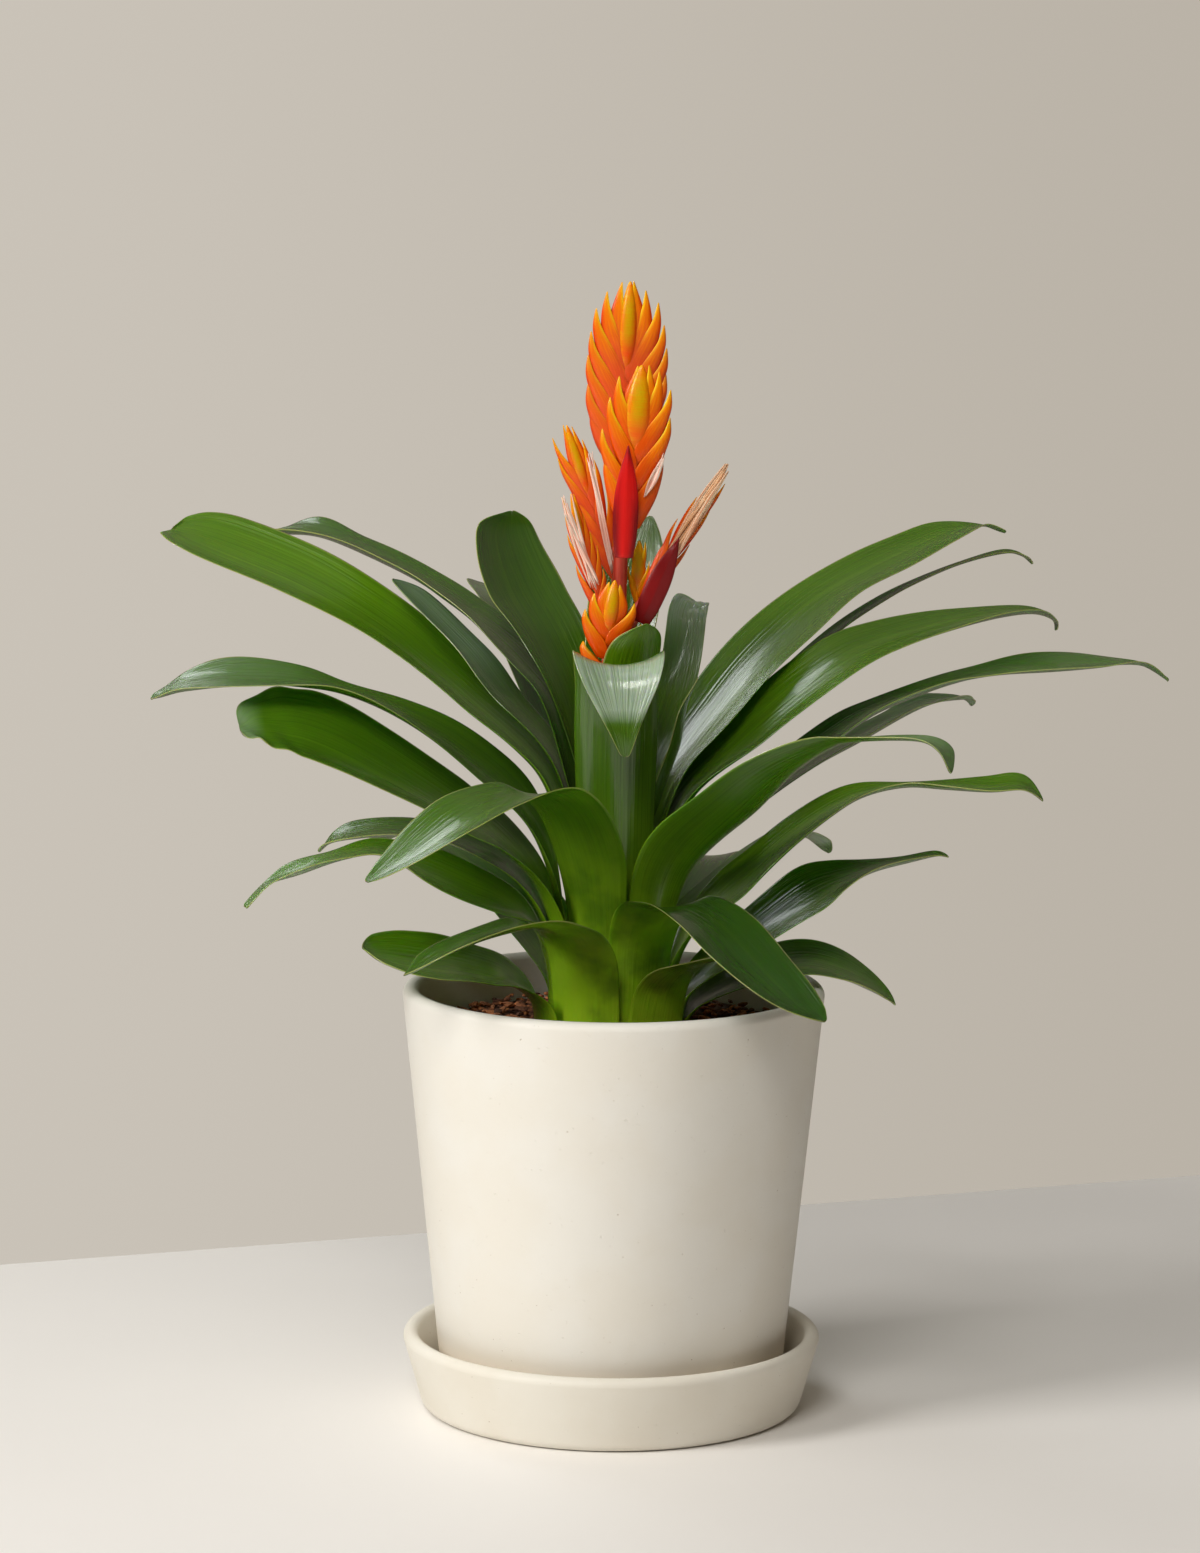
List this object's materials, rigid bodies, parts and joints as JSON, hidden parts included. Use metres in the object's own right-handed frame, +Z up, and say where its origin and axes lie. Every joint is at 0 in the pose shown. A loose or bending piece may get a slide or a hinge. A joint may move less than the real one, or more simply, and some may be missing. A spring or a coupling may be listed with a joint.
{
  "type": "potted bromeliad",
  "caption": "Bromeliad with arching strap leaves round a branched red and orange flower head, planted in a tapered cream pot that stands in a round saucer.",
  "frame": {"origin": "on the floor at the centre of the saucer's underside", "axes": "+Z up along the pot's axis; +X to the right and -Y towards the viewer with the flower head's broad side facing the viewer"},
  "size_m": [0.4016, 0.2865, 0.44],
  "materials": {
    "glazed_pot": "matt cream stoneware with a fine speckle",
    "glazed_saucer": "matt cream stoneware with a fine speckle",
    "bark_mix": "loose dark brown bark chips",
    "leaf": "glossy green strap leaf with a thin pale margin",
    "stem": "waxy dark red stem",
    "flower": "waxy bracts, red-orange keels to yellow tips",
    "red_bract": "waxy red bract"
  },
  "bodies": {
    "root": {"bract_front_red": "red_bract", "bract_right_red": "red_bract", "flower_spike_front": "flower", "flower_spike_left": "flower", "flower_spike_low_front": "flower", "flower_spike_low_left": "flower", "flower_spike_right": "flower", "flower_spike_small": "flower", "flower_spike_top": "flower", "flower_stem": "stem", "leaf_back_left_low": "leaf", "leaf_back_left_tall": "leaf", "leaf_back_low": "leaf", "leaf_back_low_left": "leaf", "leaf_back_mid": "leaf", "leaf_back_right_fold": "leaf", "leaf_back_right_low": "leaf", "leaf_back_tall": "leaf", "leaf_front_inner": "leaf", "leaf_front_left_arch": "leaf", "leaf_front_left_low": "leaf", "leaf_front_right_droop": "leaf", "leaf_front_right_stub": "leaf", "leaf_front_upright": "leaf", "leaf_left_broad": "leaf", "leaf_left_flat": "leaf", "leaf_left_high": "leaf", "leaf_left_long": "leaf", "leaf_left_low": "leaf", "leaf_left_pale": "leaf", "leaf_left_twist": "leaf", "leaf_left_under": "leaf", "leaf_right_behind": "leaf", "leaf_right_front": "leaf", "leaf_right_high": "leaf", "leaf_right_long": "leaf", "leaf_right_low": "leaf", "leaf_right_low_long": "leaf", "leaf_right_main": "leaf", "leaf_right_mid": "leaf", "leaf_right_small": "leaf", "leaf_right_thin": "leaf", "pot": "glazed_pot", "saucer": "glazed_saucer", "soil": "bark_mix"}
  },
  "joints": []
}
